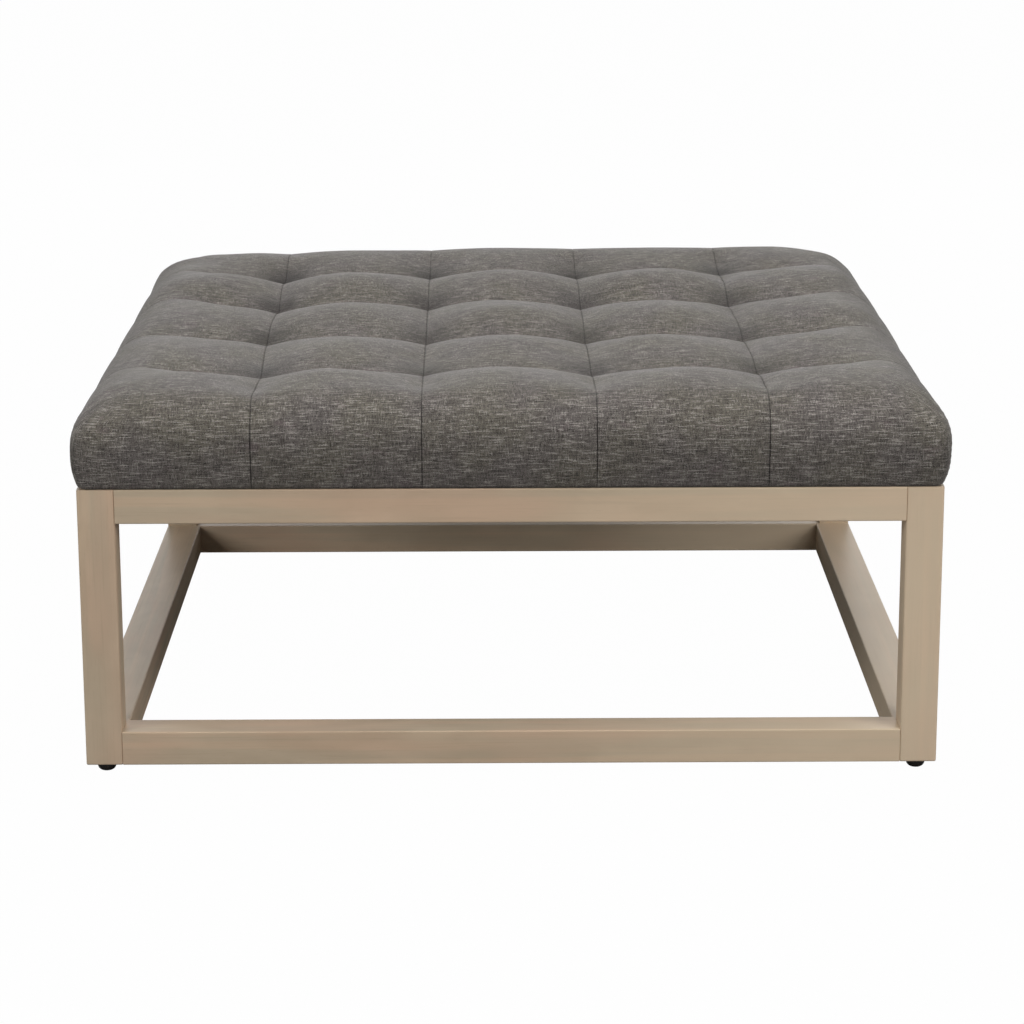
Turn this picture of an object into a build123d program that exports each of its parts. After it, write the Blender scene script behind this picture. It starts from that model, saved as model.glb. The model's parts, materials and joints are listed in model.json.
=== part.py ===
from build123d import *
import math
import os

# Ottoman coffee table, millimetres, +Z up, +X right, the front faces -Y.
# The origin is on the floor, under the centre of the table.

# Timber base
frame_width = 914.4
frame_depth = 914.4
frame_height = 304.8
post_width = 39.5
rail_height = 37.0
rail_depth = 43.5
post_edge_round = 2.0
post_foot_round = 1.8
rail_edge_round = 1.5

# Dowelled joints between rails and posts
dowel_diameter = 8.0
dowel_length = 34.0
dowel_pair_spacing = 16.0
dowel_stagger = 14.0
dowel_chamfer = 1.0
glue_gap = 0.1
bore_end_space = 1.0

# Nail-on glides under the posts
glide_height = 11.0
glide_diameter = 20.0
glide_flat_diameter = 8.0
glide_rim_height = 6.0
glide_top_chamfer = 0.6
nail_diameter = 2.4
nail_length = 24.0
nail_point = 3.0
nail_head_diameter = 8.0
nail_head_height = 1.2
nail_head_cover = 3.0

# Upholstered top: cover, seams and tufts
cushion_rise = 116.0
seat_gap = 0.3
side_bulge = 8.2
base_draw_in = 1.0
shoulder_reach = 72.0
base_corner_radius = 8.0
bulge_corner_radius = 7.0
shoulder_corner_radius = 36.0
tuft_depth = 37.0
seam_depth = 16.0
edge_seam_depth = 8.0
panel_count = 5
cover_thickness = 1.6
soft_gap = 0.3
envelope_margin = 12.0

# Side profile of the cushion, bottom to top: height, outward bulge and inward shoulder as shares
side_profile_shares = [
    (0.00, 0.00, 0.00),
    (0.10, 0.45, 0.00),
    (0.24, 0.86, 0.00),
    (0.39, 1.00, 0.00),
    (0.53, 0.86, 0.00),
    (0.66, 0.36, 0.02),
    (0.78, 0.05, 0.12),
    (0.875, 0.00, 0.27),
    (0.945, 0.00, 0.47),
    (0.985, 0.00, 0.71),
    (1.00, 0.00, 1.00),
]

# Layers under the cover
deck_thickness = 15.0
deck_inset = 8.0
foam_inset = 11.0
foam_thickness = 46.0
foam_corner_radius = 6.0
tie_diameter = 2.2
tie_bore_diameter = 5.0
tie_sleeve_gap = 0.3
tie_knot_diameter = 6.0
tie_knot_height = 3.0
washer_diameter = 18.0
washer_thickness = 1.5

# Locating battens and dust cover below the deck
batten_width = 40.0
batten_height = 20.0
batten_clearance = 1.5
flange_clearance = 0.5
dust_cover_thickness = 0.6
dust_cover_inset = 2.0

# Corner blocks under the dust cover
block_leg = 70.0
block_end = 14.0
block_nose = 6.0
block_height = 15.0
block_screw_reach = 44.0
block_screw_seat = 12.0
deck_screw_reach = 24.0

# Wood screws
screw_diameter = 4.0
screw_head_diameter = 8.0
screw_head_height = 3.0
screw_head_rim = 0.4
screw_point = 4.0
screw_gap = 0.15
block_screw_length = 34.0
deck_screw_length = 44.0
batten_screw_length = 30.0
batten_screw_count = 3
batten_screw_spacing = 270.0

# Staples
staple_crown = 10.0
staple_wire_width = 1.2
staple_wire_height = 0.6
staple_leg = 8.0
staple_gap = 0.05
dust_staple_reach = 10.0
dust_staple_spacing = 62.0
dust_staple_count = 11
cover_staple_reach = 22.0
cover_staple_spacing = 90.0
cover_staple_count = 9

# Levels and inner sizes worked out from the values above
wood_bottom = glide_height
frame_top = wood_bottom + frame_height
top_rail_bottom = frame_top - rail_height
crown_level = frame_top + cushion_rise
cover_bottom = frame_top + seat_gap
deck_bottom = cover_bottom + cover_thickness
deck_top = deck_bottom + deck_thickness
foam_bottom = deck_top + soft_gap
foam_top = foam_bottom + foam_thickness
batten_bottom = deck_bottom - batten_height
dust_cover_bottom = batten_bottom - dust_cover_thickness
block_top = dust_cover_bottom - seat_gap
block_bottom = block_top - block_height
nail_bottom = nail_head_cover
nail_top = nail_bottom + nail_length
inner_width = frame_width - 2 * rail_depth
inner_depth = frame_depth - 2 * rail_depth

# Sides in order round the base: name, turn in degrees, length and depth seen from that side
sides = [
    ("front", 0, frame_width, frame_depth),
    ("right", 90, frame_depth, frame_width),
    ("back", 180, frame_width, frame_depth),
    ("left", 270, frame_depth, frame_width),
]
corners = ["front_right", "back_right", "back_left", "front_left"]
rail_levels = {"top": top_rail_bottom, "bottom": wood_bottom}

os.makedirs("parts", exist_ok=True)


def write(part, name):
    """Labels a finished piece and writes it under its own name."""
    part.label = name
    export_step(part, "parts/" + name + ".step")


def side_plane(turn, level):
    """Horizontal plane at a level, turned so that its -y side is the named side of the table."""
    angle = math.radians(turn)
    return Plane(origin=(0, 0, level), x_dir=(math.cos(angle), math.sin(angle), 0), z_dir=(0, 0, 1))


def seat_plane(turn, level, x, y, facing):
    """Plane at a point of a side plane; facing is its normal in the side plane's own axes."""
    base = side_plane(turn, level)
    origin = base.from_local_coords(Vector(x, y, 0))
    normal = base.from_local_coords(Vector(*facing)) - base.origin
    return Plane(origin=origin, z_dir=normal)


def dowel_seats(side, rail_bottom):
    """For one rail: each post it meets, with the planes of its dowels, facing into that post."""
    index = sides.index(side)
    name, turn, along, across = side
    stagger = dowel_stagger / 2 if index % 2 == 0 else -dowel_stagger / 2
    level = rail_bottom + rail_height / 2 + stagger
    middle = -across / 2 + post_width / 2
    seats = []
    for end, post in ((1, corners[index]), (-1, corners[index - 1])):
        for shift in (-dowel_pair_spacing / 2, dowel_pair_spacing / 2):
            x = end * (along / 2 - post_width)
            seats.append((post, seat_plane(turn, level, x, middle + shift, (end, 0, 0))))
    return seats


def screws(seats, length, gap=0.0, pocket=0.0):
    """Countersunk screws with their heads at the seat planes, or their bores, grown by a gap."""
    with BuildPart() as group:
        for seat in seats:
            half_plane = Plane(origin=seat.origin, x_dir=seat.x_dir, z_dir=seat.x_dir.cross(seat.z_dir))
            with BuildSketch(half_plane):
                with BuildLine():
                    Polyline(
                        (0, -pocket),
                        (screw_head_diameter / 2 + gap, -pocket),
                        (screw_head_diameter / 2 + gap, screw_head_rim + gap),
                        (screw_diameter / 2 + gap, screw_head_height + gap),
                        (screw_diameter / 2 + gap, length - screw_point + gap),
                        (0, length + gap),
                        close=True,
                    )
                make_face()
            revolve(axis=Axis(seat.origin, seat.z_dir))
    return group.part


def staples(level, reach, spacing, count, gap=0.0):
    """A row of staples along each side, crowns at a level, or their slots, grown by a gap."""
    crown = staple_wire_height + gap
    leg = staple_leg + gap
    leg_middle = (staple_crown - staple_wire_height) / 2
    with BuildPart() as group:
        for name, turn, along, across in sides:
            base = side_plane(turn, level)
            origin = base.from_local_coords(Vector(0, reach - across / 2, 0))
            with BuildSketch(Plane(origin=origin, x_dir=base.x_dir, z_dir=-base.y_dir)):
                with GridLocations(spacing, spacing, count, 1):
                    with Locations((0, crown / 2)):
                        Rectangle(staple_crown + 2 * gap, crown)
                    with Locations((-leg_middle, leg / 2), (leg_middle, leg / 2)):
                        Rectangle(staple_wire_height + 2 * gap, leg)
            extrude(amount=staple_wire_width / 2 + gap, both=True)
    return group.part


def line_places(size):
    """Places across the top, each with its kind: outside, then crown and seam in turn."""
    outer = size / 2 + side_bulge + envelope_margin
    count = 2 * panel_count
    places = [(-outer, "edge")]
    for step in range(1, count):
        places.append((size * (step / count - 1 / 2), "seam" if step % 2 == 0 else "crown"))
    places.append((outer, "edge"))
    return places


def top_level(kind_x, kind_y):
    """Height of the cover's top where two kinds of line cross."""
    kinds = {kind_x, kind_y}
    drop = 0
    if kinds == {"seam"}:
        drop = tuft_depth
    elif kinds == {"seam", "crown"}:
        drop = seam_depth
    elif kinds == {"seam", "edge"}:
        drop = edge_seam_depth
    return crown_level - drop


def tufted_block(inset):
    """Rows of crowned panels with sunk seams between them and a tuft at each crossing."""
    x_places = line_places(frame_width)
    y_places = line_places(frame_depth)
    floor = frame_top - envelope_margin
    with BuildPart() as block:
        for column in range(panel_count):
            for x, kind_x in x_places[2 * column : 2 * column + 3]:
                heights = [top_level(kind_x, kind_y) - inset for y, kind_y in y_places]
                points = [(y, height) for (y, kind_y), height in zip(y_places, heights)]
                with BuildSketch(Plane.YZ.offset(x)):
                    with BuildLine():
                        Line((points[0][0], floor), points[0])
                        for row in range(panel_count):
                            ThreePointArc(*points[2 * row : 2 * row + 3])
                        Line(points[-1], (points[-1][0], floor))
                        Line((points[-1][0], floor), (points[0][0], floor))
                    make_face()
            loft()
    return block.part


def shouldered_block(inset):
    """Block with the cushion's drawn-in base, bulged sides and rounded shoulders."""
    rise = crown_level - cover_bottom - 2 * inset
    with BuildPart() as block:
        for height_share, bulge_share, shoulder_share in side_profile_shares:
            outset = bulge_share * side_bulge - shoulder_share * shoulder_reach - base_draw_in - inset
            radius = (
                base_corner_radius
                + bulge_share * bulge_corner_radius
                + shoulder_share * shoulder_corner_radius
                - inset
            )
            with BuildSketch(Plane.XY.offset(cover_bottom + inset + height_share * rise)):
                RectangleRounded(frame_width + 2 * outset, frame_depth + 2 * outset, radius)
        loft()
    return block.part


def cushion_form(inset):
    """The cushion's whole form, its skin lying inset under the cover's outer face."""
    with BuildPart() as form:
        add(shouldered_block(inset))
        add(tufted_block(inset), mode=Mode.INTERSECT)
    return form.part


# Every dowel, screw, staple and tie place, shared by the pieces that they join
dowel_places = {}
for rail_set, rail_bottom in rail_levels.items():
    dowel_places[rail_set] = [seat for side in sides for seat in dowel_seats(side, rail_bottom)]

block_screw_seats = []
deck_screw_seats = []
batten_screw_seats = []
for name, turn, along, across in sides:
    inner_x = along / 2 - rail_depth
    inner_y = rail_depth - across / 2
    level = block_bottom + block_height / 2
    far, near = block_screw_reach, block_screw_seat
    block_screw_seats.append(seat_plane(turn, level, inner_x - far, inner_y + near, (0, -1, 0)))
    block_screw_seats.append(seat_plane(turn, level, inner_x - near, inner_y + far, (1, 0, 0)))
    corner = (inner_x - deck_screw_reach, inner_y + deck_screw_reach)
    deck_screw_seats.append(seat_plane(turn, block_bottom, *corner, (0, 0, 1)))
    batten_middle = inner_y + batten_clearance + batten_width / 2
    for place in range(batten_screw_count):
        x = (place - (batten_screw_count - 1) / 2) * batten_screw_spacing
        batten_screw_seats.append(seat_plane(turn, batten_bottom, x, batten_middle, (0, 0, 1)))

dust_row = (
    dust_cover_bottom - staple_wire_height,
    rail_depth + batten_clearance + dust_staple_reach,
    dust_staple_spacing,
    dust_staple_count,
)
cover_row = (cover_bottom, cover_staple_reach, cover_staple_spacing, cover_staple_count)
seam_x = [x for x, kind in line_places(frame_width) if kind == "seam"]
seam_y = [y for y, kind in line_places(frame_depth) if kind == "seam"]
tuft_places = [(x, y) for x in seam_x for y in seam_y]

block_bores = screws(block_screw_seats, block_screw_length, screw_gap, block_leg)
deck_bores = screws(deck_screw_seats, deck_screw_length, screw_gap)
batten_bores = screws(batten_screw_seats, batten_screw_length, screw_gap)
dust_slots = staples(*dust_row, gap=staple_gap)
cover_slots = staples(*cover_row, gap=staple_gap)

# Posts, bored for the dowels of both rail sets and for the glide's nail
for name in corners:
    sign_x = 1 if "right" in name else -1
    sign_y = 1 if "back" in name else -1
    middle = (sign_x * (frame_width - post_width) / 2, sign_y * (frame_depth - post_width) / 2)
    with BuildPart() as post:
        with BuildSketch(Plane.XY.offset(wood_bottom)):
            with Locations(middle):
                Rectangle(post_width, post_width)
        extrude(amount=frame_height)
        fillet(post.edges().filter_by(Axis.Z), post_edge_round)
        fillet(post.faces().sort_by(Axis.Z)[0].edges(), post_foot_round)
        for seats in dowel_places.values():
            for post_name, seat in seats:
                if post_name == name:
                    with BuildSketch(seat):
                        Circle(dowel_diameter / 2 + glue_gap)
                    extrude(amount=dowel_length / 2 + bore_end_space, mode=Mode.SUBTRACT)
        with BuildSketch(Plane.XY.offset(wood_bottom)):
            with Locations(middle):
                Circle(nail_diameter / 2 + glue_gap)
        extrude(amount=nail_top + bore_end_space - wood_bottom, mode=Mode.SUBTRACT)
    write(post.part, "post_" + name)

    # Nail with its head moulded into the glide
    with BuildPart() as nail:
        with BuildSketch(Plane(origin=(*middle, nail_bottom), x_dir=(1, 0, 0), z_dir=(0, -1, 0))):
            with BuildLine():
                Polyline(
                    (0, 0),
                    (nail_head_diameter / 2, 0),
                    (nail_head_diameter / 2, nail_head_height),
                    (nail_diameter / 2, nail_head_height),
                    (nail_diameter / 2, nail_length - nail_point),
                    (0, nail_length),
                    close=True,
                )
            make_face()
        revolve(axis=Axis((*middle, 0), (0, 0, 1)))
    write(nail.part, "glide_nail_" + name)

    with BuildPart() as glide:
        with BuildSketch(Plane(origin=(*middle, 0), x_dir=(1, 0, 0), z_dir=(0, -1, 0))):
            radius = glide_diameter / 2
            with BuildLine():
                Polyline(
                    (glide_flat_diameter / 2, 0),
                    (0, 0),
                    (0, glide_height),
                    (radius - glide_top_chamfer, glide_height),
                    (radius, glide_height - glide_top_chamfer),
                    (radius, glide_rim_height),
                )
                TangentArc((radius, glide_rim_height), (glide_flat_diameter / 2, 0), tangent=(0, -1))
            make_face()
        revolve(axis=Axis((*middle, 0), (0, 0, 1)))
        add(nail.part, mode=Mode.SUBTRACT)
    write(glide.part, "glide_" + name)

# Rails, butted between the posts, with a short mitre where they stand proud of the posts' inner faces
for rail_set, rail_bottom in rail_levels.items():
    for side in sides:
        name, turn, along, across = side
        outer_x = along / 2 - post_width
        inner_x = along / 2 - rail_depth
        with BuildPart() as rail:
            with BuildSketch(side_plane(turn, rail_bottom)):
                with BuildLine():
                    Polyline(
                        (-outer_x, -across / 2),
                        (outer_x, -across / 2),
                        (outer_x, post_width - across / 2),
                        (inner_x, rail_depth - across / 2),
                        (-inner_x, rail_depth - across / 2),
                        (-outer_x, post_width - across / 2),
                        close=True,
                    )
                make_face()
            extrude(amount=rail_height)
            lengthwise = Axis(side_plane(turn, rail_bottom).origin, side_plane(turn, rail_bottom).x_dir)
            fillet(rail.edges().filter_by(lengthwise), rail_edge_round)
            for post_name, seat in dowel_seats(side, rail_bottom):
                with BuildSketch(seat):
                    Circle(dowel_diameter / 2 + glue_gap)
                extrude(amount=-dowel_length / 2 - bore_end_space, mode=Mode.SUBTRACT)
            if rail_set == "top":
                add(block_bores, mode=Mode.SUBTRACT)
        write(rail.part, rail_set + "_rail_" + name)

# Dowels
for rail_set, seats in dowel_places.items():
    with BuildPart() as dowels:
        for post_name, seat in seats:
            with BuildSketch(seat.offset(-dowel_length / 2)):
                Circle(dowel_diameter / 2)
            extrude(amount=dowel_length)
        chamfer(dowels.edges().filter_by(GeomType.CIRCLE), dowel_chamfer)
    write(dowels.part, rail_set + "_rail_dowels")

# Corner blocks, screwed to two top rails each
for (name, turn, along, across), corner_name in zip(sides, corners):
    inner_x = along / 2 - rail_depth
    inner_y = rail_depth - across / 2
    with BuildPart() as block:
        with BuildSketch(side_plane(turn, block_bottom)):
            with BuildLine():
                Polyline(
                    (inner_x - block_nose, inner_y),
                    (inner_x - block_leg, inner_y),
                    (inner_x - block_leg, inner_y + block_end),
                    (inner_x - block_end, inner_y + block_leg),
                    (inner_x, inner_y + block_leg),
                    (inner_x, inner_y + block_nose),
                    close=True,
                )
            make_face()
        extrude(amount=block_height)
        add(block_bores, mode=Mode.SUBTRACT)
        add(deck_bores, mode=Mode.SUBTRACT)
    write(block.part, "corner_block_" + corner_name)

# Battens under the deck, which locate the upholstered top inside the rails
for index, (name, turn, along, across) in enumerate(sides):
    half_length = along / 2 - rail_depth - batten_clearance
    if index % 2 == 1:
        half_length = half_length - batten_width
    outer_y = rail_depth + batten_clearance - across / 2
    with BuildPart() as batten:
        with BuildSketch(side_plane(turn, batten_bottom)):
            with Locations((0, outer_y + batten_width / 2)):
                Rectangle(2 * half_length, batten_width)
        extrude(amount=batten_height)
        add(batten_bores, mode=Mode.SUBTRACT)
        add(deck_bores, mode=Mode.SUBTRACT)
        add(dust_slots, mode=Mode.SUBTRACT)
    write(batten.part, "deck_batten_" + name)

# Plywood deck
with BuildPart() as deck:
    with BuildSketch(Plane.XY.offset(deck_bottom)):
        Rectangle(frame_width - 2 * deck_inset, frame_depth - 2 * deck_inset)
    extrude(amount=deck_thickness)
    with BuildSketch(Plane.XY.offset(deck_bottom)):
        with Locations(*tuft_places):
            Circle(tie_bore_diameter / 2)
    extrude(amount=deck_thickness, mode=Mode.SUBTRACT)
    add(batten_bores, mode=Mode.SUBTRACT)
    add(deck_bores, mode=Mode.SUBTRACT)
    add(cover_slots, mode=Mode.SUBTRACT)
write(deck.part, "deck_panel")

# Firm foam slab on the deck
with BuildPart() as foam:
    with BuildSketch(Plane.XY.offset(foam_bottom)):
        RectangleRounded(
            frame_width - 2 * foam_inset, frame_depth - 2 * foam_inset, foam_corner_radius
        )
        with Locations(*tuft_places):
            Circle(tie_diameter / 2 + tie_sleeve_gap, mode=Mode.SUBTRACT)
    extrude(amount=foam_thickness)
write(foam.part, "foam_slab")

# Soft wadding over the foam, tufted like the cover and wrapped down the sides
wadding_inset = cover_thickness + soft_gap
with BuildPart() as wadding:
    add(cushion_form(wadding_inset))
    with BuildSketch(Plane.XY.offset(frame_top - envelope_margin)):
        Rectangle(
            frame_width - 2 * deck_inset + 2 * soft_gap, frame_depth - 2 * deck_inset + 2 * soft_gap
        )
    extrude(amount=foam_top + soft_gap - frame_top + envelope_margin, mode=Mode.SUBTRACT)
    with BuildSketch(Plane.XY.offset(foam_top)):
        with Locations(*tuft_places):
            Circle(tie_diameter / 2 + tie_sleeve_gap)
    extrude(amount=cushion_rise, mode=Mode.SUBTRACT)
write(wadding.part, "wadding")

# Sewn cover: a skin over the wadding, turned under the deck as a flange
with BuildPart() as cover:
    add(cushion_form(0))
    add(cushion_form(cover_thickness), mode=Mode.SUBTRACT)
    with BuildSketch(Plane.XY.offset(frame_top)):
        Rectangle(
            inner_width - 2 * flange_clearance, inner_depth - 2 * flange_clearance
        )
    extrude(amount=deck_bottom - frame_top + soft_gap, mode=Mode.SUBTRACT)
    add(cover_slots, mode=Mode.SUBTRACT)
write(cover.part, "tufted_cover")

# Ties that pull the tufts down, each knotted under a washer below the deck
tie_top = crown_level - tuft_depth - cover_thickness - soft_gap
knot_top = deck_bottom - washer_thickness
with BuildPart() as ties:
    with BuildSketch(Plane.XY.offset(knot_top)):
        with Locations(*tuft_places):
            Circle(tie_diameter / 2)
    extrude(amount=tie_top - knot_top)
    with BuildSketch(Plane.XY.offset(knot_top)):
        with Locations(*tuft_places):
            Circle(tie_knot_diameter / 2)
    extrude(amount=-tie_knot_height)
write(ties.part, "tuft_ties")

with BuildPart() as washers:
    with BuildSketch(Plane.XY.offset(knot_top)):
        with Locations(*tuft_places):
            Circle(washer_diameter / 2)
            Circle(tie_diameter / 2 + tie_sleeve_gap, mode=Mode.SUBTRACT)
    extrude(amount=washer_thickness)
write(washers.part, "tie_washers")

# Dust cover stapled under the battens
with BuildPart() as dust_cover:
    with BuildSketch(Plane.XY.offset(dust_cover_bottom)):
        Rectangle(inner_width - 2 * dust_cover_inset, inner_depth - 2 * dust_cover_inset)
    extrude(amount=dust_cover_thickness)
    add(deck_bores, mode=Mode.SUBTRACT)
    add(dust_slots, mode=Mode.SUBTRACT)
write(dust_cover.part, "dust_cover")

# Fasteners, each kind in one group
write(screws(block_screw_seats, block_screw_length), "corner_block_screws")
write(screws(deck_screw_seats, deck_screw_length), "deck_screws")
write(screws(batten_screw_seats, batten_screw_length), "batten_screws")
write(staples(*dust_row), "dust_cover_staples")
write(staples(*cover_row), "cover_staples")
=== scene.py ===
import json
import math

import bpy
import numpy as np
from mathutils import Matrix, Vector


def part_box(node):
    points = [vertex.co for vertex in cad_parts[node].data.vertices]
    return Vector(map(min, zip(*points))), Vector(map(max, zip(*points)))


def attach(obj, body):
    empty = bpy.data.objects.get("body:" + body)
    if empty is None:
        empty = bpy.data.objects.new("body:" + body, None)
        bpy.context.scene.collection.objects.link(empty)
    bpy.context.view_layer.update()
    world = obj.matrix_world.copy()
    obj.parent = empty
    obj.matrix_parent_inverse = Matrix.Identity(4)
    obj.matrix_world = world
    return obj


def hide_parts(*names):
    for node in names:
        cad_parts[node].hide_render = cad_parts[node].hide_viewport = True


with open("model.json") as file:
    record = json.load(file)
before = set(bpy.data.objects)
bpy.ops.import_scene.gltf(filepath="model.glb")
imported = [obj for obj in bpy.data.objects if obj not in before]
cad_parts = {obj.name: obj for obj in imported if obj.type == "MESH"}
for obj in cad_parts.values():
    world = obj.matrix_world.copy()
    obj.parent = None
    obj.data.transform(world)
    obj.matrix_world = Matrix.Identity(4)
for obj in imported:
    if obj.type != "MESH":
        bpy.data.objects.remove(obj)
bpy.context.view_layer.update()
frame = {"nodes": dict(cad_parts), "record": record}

# Sizes read from the frame, in metres
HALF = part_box("post_front_right")[1].x
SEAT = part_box("tufted_cover")[0].z
DECK_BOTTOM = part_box("deck_panel")[0].z
# Gap kept between the wadding and what lies inside it
CLEARANCE = 0.0003
DECK_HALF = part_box("deck_panel")[1].x + CLEARANCE
FOAM_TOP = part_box("foam_slab")[1].z + CLEARANCE


class Value:
    """A shader socket with Python arithmetic: each operator adds one Math node."""

    def __init__(self, shader, socket):
        self.shader = shader
        self.socket = socket

    def _math(self, operation, *inputs):
        """One Math node on these values or numbers."""
        return self.shader.node("ShaderNodeMath", {"operation": operation}, dict(enumerate(inputs)))

    def __add__(self, other):
        return self._math("ADD", self, other)

    def __radd__(self, other):
        return self._math("ADD", other, self)

    def __sub__(self, other):
        return self._math("SUBTRACT", self, other)

    def __rsub__(self, other):
        return self._math("SUBTRACT", other, self)

    def __mul__(self, other):
        return self._math("MULTIPLY", self, other)

    def __rmul__(self, other):
        return self._math("MULTIPLY", other, self)

    def __pow__(self, other):
        return self._math("POWER", self, other)

    def floor(self):
        return self._math("FLOOR", self)

    def fraction(self):
        return self._math("FRACT", self)

    def over(self, low, high):
        """0 below low, 1 above high, smooth between."""
        settings = {"interpolation_type": "SMOOTHSTEP"}
        return self.shader.node("ShaderNodeMapRange", settings, {0: self, 1: low, 2: high, 3: 0.0, 4: 1.0})


class Shader:
    """A new material around one Principled shader, with one method that adds any node."""

    def __init__(self, name, **constants):
        self.material = bpy.data.materials.new(name)
        self.material.use_nodes = True
        self.tree = self.material.node_tree
        self.surface = self.tree.nodes["Principled BSDF"]
        for socket, value in constants.items():
            self.surface.inputs[socket.replace("_", " ")].default_value = value

    def node(self, kind, settings=None, inputs=None, output=0):
        """Adds a node: its settings first, then the values or links of its sockets."""
        made = self.tree.nodes.new(kind)
        for key, value in (settings or {}).items():
            setattr(made, key, value)
        for key, value in (inputs or {}).items():
            if isinstance(value, Value):
                self.tree.links.new(value.socket, made.inputs[key])
            else:
                made.inputs[key].default_value = value
        return Value(self, made.outputs[output])

    def coordinates(self):
        """The place on the object, in metres."""
        return self.node("ShaderNodeTexCoord", output="Object")

    def uv(self, name):
        """The place on the piece's own UV map, in metres of cloth."""
        return self.node("ShaderNodeUVMap", {"uv_map": name})

    def attribute(self, name):
        """A number that the piece's mesh keeps for each point."""
        return self.node("ShaderNodeAttribute", {"attribute_name": name}, output="Fac")

    def split(self, vector):
        """The x, y and z of a vector."""
        parts = self.node("ShaderNodeSeparateXYZ", {}, {0: vector})
        return [Value(self, socket) for socket in parts.socket.node.outputs]

    def joined(self, x, y, z=0.0):
        """A vector of three numbers."""
        return self.node("ShaderNodeCombineXYZ", {}, {0: x, 1: y, 2: z})

    def noise(self, vector, scale, detail=2.0, roughness=0.5, distortion=0.0):
        """Noise of the vector stretched by scale, in features per metre along each axis."""
        sockets = {
            "Vector": self.node("ShaderNodeMapping", {}, {"Vector": vector, "Scale": scale}),
            "Scale": 1.0,
            "Detail": detail,
            "Roughness": roughness,
            "Distortion": distortion,
        }
        return self.node("ShaderNodeTexNoise", {}, sockets, output="Fac")

    def mix(self, factor, low, high):
        """The colour low where the factor is 0, high where it is 1, and in proportion between."""
        settings = {"data_type": "RGBA", "clamp_factor": True}
        low = low if isinstance(low, Value) else (*low, 1.0)
        high = high if isinstance(high, Value) else (*high, 1.0)
        return self.node("ShaderNodeMix", settings, {0: factor, 6: low, 7: high}, output=2)

    def set(self, socket, value):
        """Links a value to a socket of the Principled shader."""
        self.tree.links.new(value.socket, self.surface.inputs[socket])

    def bump(self, height, distance, strength):
        """Bump of a height, 0 to 1, that stands for this distance in metres."""
        sockets = {"Height": height, "Distance": distance, "Strength": strength}
        self.set("Normal", self.node("ShaderNodeBump", {}, sockets))


def screen(red, green, blue):
    """A colour as seen on a screen, 0 to 255, as scene-linear numbers."""
    channels = []
    for channel in (red, green, blue):
        part = channel / 255
        channels.append(part / 12.92 if part <= 0.04045 else ((part + 0.055) / 1.055) ** 2.4)
    return tuple(channels)


# Camera: place, aim and lens fitted to the straight edges of the frame in the photograph.
# Places are in metres, turns in radians.
PHOTO_SIZE = 1024
CAMERA_FOCUS_PIXELS = 3128.8
CAMERA_PLACE = (-0.0117, -3.6509, 1.1138)
CAMERA_YAW = 0.0041
CAMERA_PITCH = 0.2523
CAMERA_ROLL = -0.0031


def turned_to(x_axis, y_axis, z_axis, place):
    """The matrix of an object with these axes at this place."""
    matrix = np.eye(4)
    matrix[:3, :] = np.stack([x_axis, y_axis, z_axis, place], axis=1)
    return Matrix(matrix.tolist())


def make_camera():
    """Pinhole camera from yaw, pitch and roll: forward first, then right and up turned by the roll."""
    yaw, pitch, roll = CAMERA_YAW, CAMERA_PITCH, CAMERA_ROLL
    flat = math.cos(pitch)
    forward = np.array([math.sin(yaw) * flat, math.cos(yaw) * flat, -math.sin(pitch)])
    right = np.array([math.cos(yaw), -math.sin(yaw), 0.0])
    up = np.cross(right, forward)
    rolled_right = math.cos(roll) * right + math.sin(roll) * up
    rolled_up = math.cos(roll) * up - math.sin(roll) * right
    data = bpy.data.cameras.new("camera")
    data.sensor_width = 36.0
    data.lens = CAMERA_FOCUS_PIXELS / PHOTO_SIZE * data.sensor_width
    data.clip_end = 60.0
    camera = bpy.data.objects.new("camera", data)
    camera.matrix_world = turned_to(rolled_right, rolled_up, -forward, CAMERA_PLACE)
    bpy.context.scene.collection.objects.link(camera)
    bpy.context.scene.camera = camera


def make_lamp(name, place, aim, size, watts):
    """A square soft lamp at a place, facing aim."""
    data = bpy.data.lights.new(name, "AREA")
    data.shape = "SQUARE"
    data.size = size
    data.energy = watts
    lamp = bpy.data.objects.new(name, data)
    z_axis = np.array(place, float) - np.array(aim, float)
    z_axis = z_axis / np.linalg.norm(z_axis)
    x_axis = np.cross((0.0, 1.0, 0.0), z_axis)
    x_axis = x_axis / np.linalg.norm(x_axis)
    lamp.matrix_world = turned_to(x_axis, np.cross(z_axis, x_axis), z_axis, place)
    bpy.context.scene.collection.objects.link(lamp)


# Lamps: name, place, what each faces, size and watts
LAMPS = [
    ("over", (0.0, -0.4, 3.4), (0.0, 0.0, 0.2), 2.4, 74.0),
    ("right_high", (2.2, -2.4, 2.8), (0.0, 0.0, 0.3), 2.0, 34.0),
    ("right_low", (2.9, -2.3, 1.6), (0.0, 0.0, 0.2), 1.6, 39.0),
    ("left_low", (-2.9, -2.3, 1.6), (0.0, 0.0, 0.2), 1.6, 50.5),
    ("back_left", (-1.1, 4.0, 1.25), (0.0, 0.0, 0.2), 1.5, 18.0),
    ("back_right", (1.1, 4.0, 1.25), (0.0, 0.0, 0.2), 1.5, 19.5),
]
SURROUND_LIGHT = 0.06
FLOOR_TONE = 0.30
# Share of plain white in what the camera sees of the floor; the rest shows the shadow
FLOOR_WHITE = 0.988


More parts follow.
